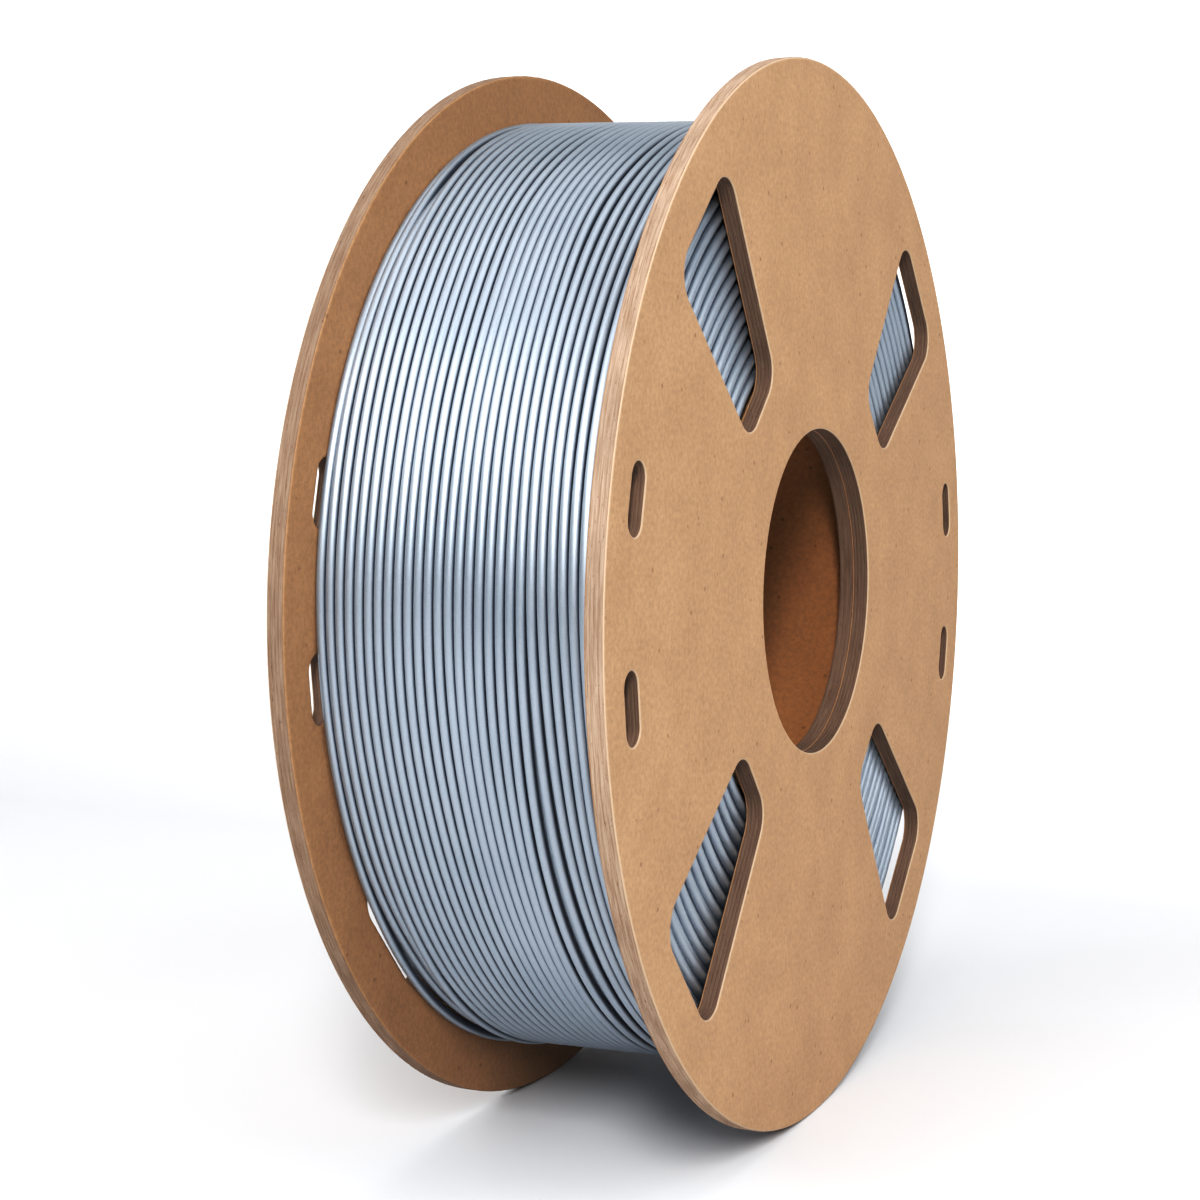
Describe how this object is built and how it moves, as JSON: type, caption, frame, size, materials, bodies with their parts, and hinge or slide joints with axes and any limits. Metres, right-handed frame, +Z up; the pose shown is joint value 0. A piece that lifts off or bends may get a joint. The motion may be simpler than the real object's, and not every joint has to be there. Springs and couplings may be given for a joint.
{
  "type": "filament spool",
  "caption": "Cardboard spool full of round filament: two die-cut laminated side discs with sight windows and end slots on a wound paper tube, with a round spindle hole.",
  "frame": {"origin": "centre of the spindle hole, midway between the two side discs", "axes": "+X along the spool's axis towards the right side disc, +Z up; the spool stands on its rims"},
  "size_m": [0.0596, 0.2, 0.2],
  "materials": {
    "outer_kraft_paper": "matte brown kraft paper with fine fibre flecks",
    "inner_kraft_paper": "matte brown kraft paper, a little darker",
    "grey_board": "cut edge of pasted grey board, rough and matte",
    "filament": "satin blue-grey with a silvery sheen"
  },
  "bodies": {
    "root": {"left_outer_kraft": "outer_kraft_paper", "left_ply_1": "grey_board", "left_ply_2": "grey_board", "left_ply_3": "grey_board", "left_ply_4": "grey_board", "left_inner_kraft": "inner_kraft_paper", "left_hub_disc": "grey_board", "right_outer_kraft": "outer_kraft_paper", "right_ply_1": "grey_board", "right_ply_2": "grey_board", "right_ply_3": "grey_board", "right_ply_4": "grey_board", "right_inner_kraft": "inner_kraft_paper", "right_hub_disc": "grey_board", "tube_inner_kraft": "inner_kraft_paper", "tube_body": "grey_board", "tube_outer_kraft": "outer_kraft_paper", "filament_winding": "filament"}
  },
  "joints": []
}
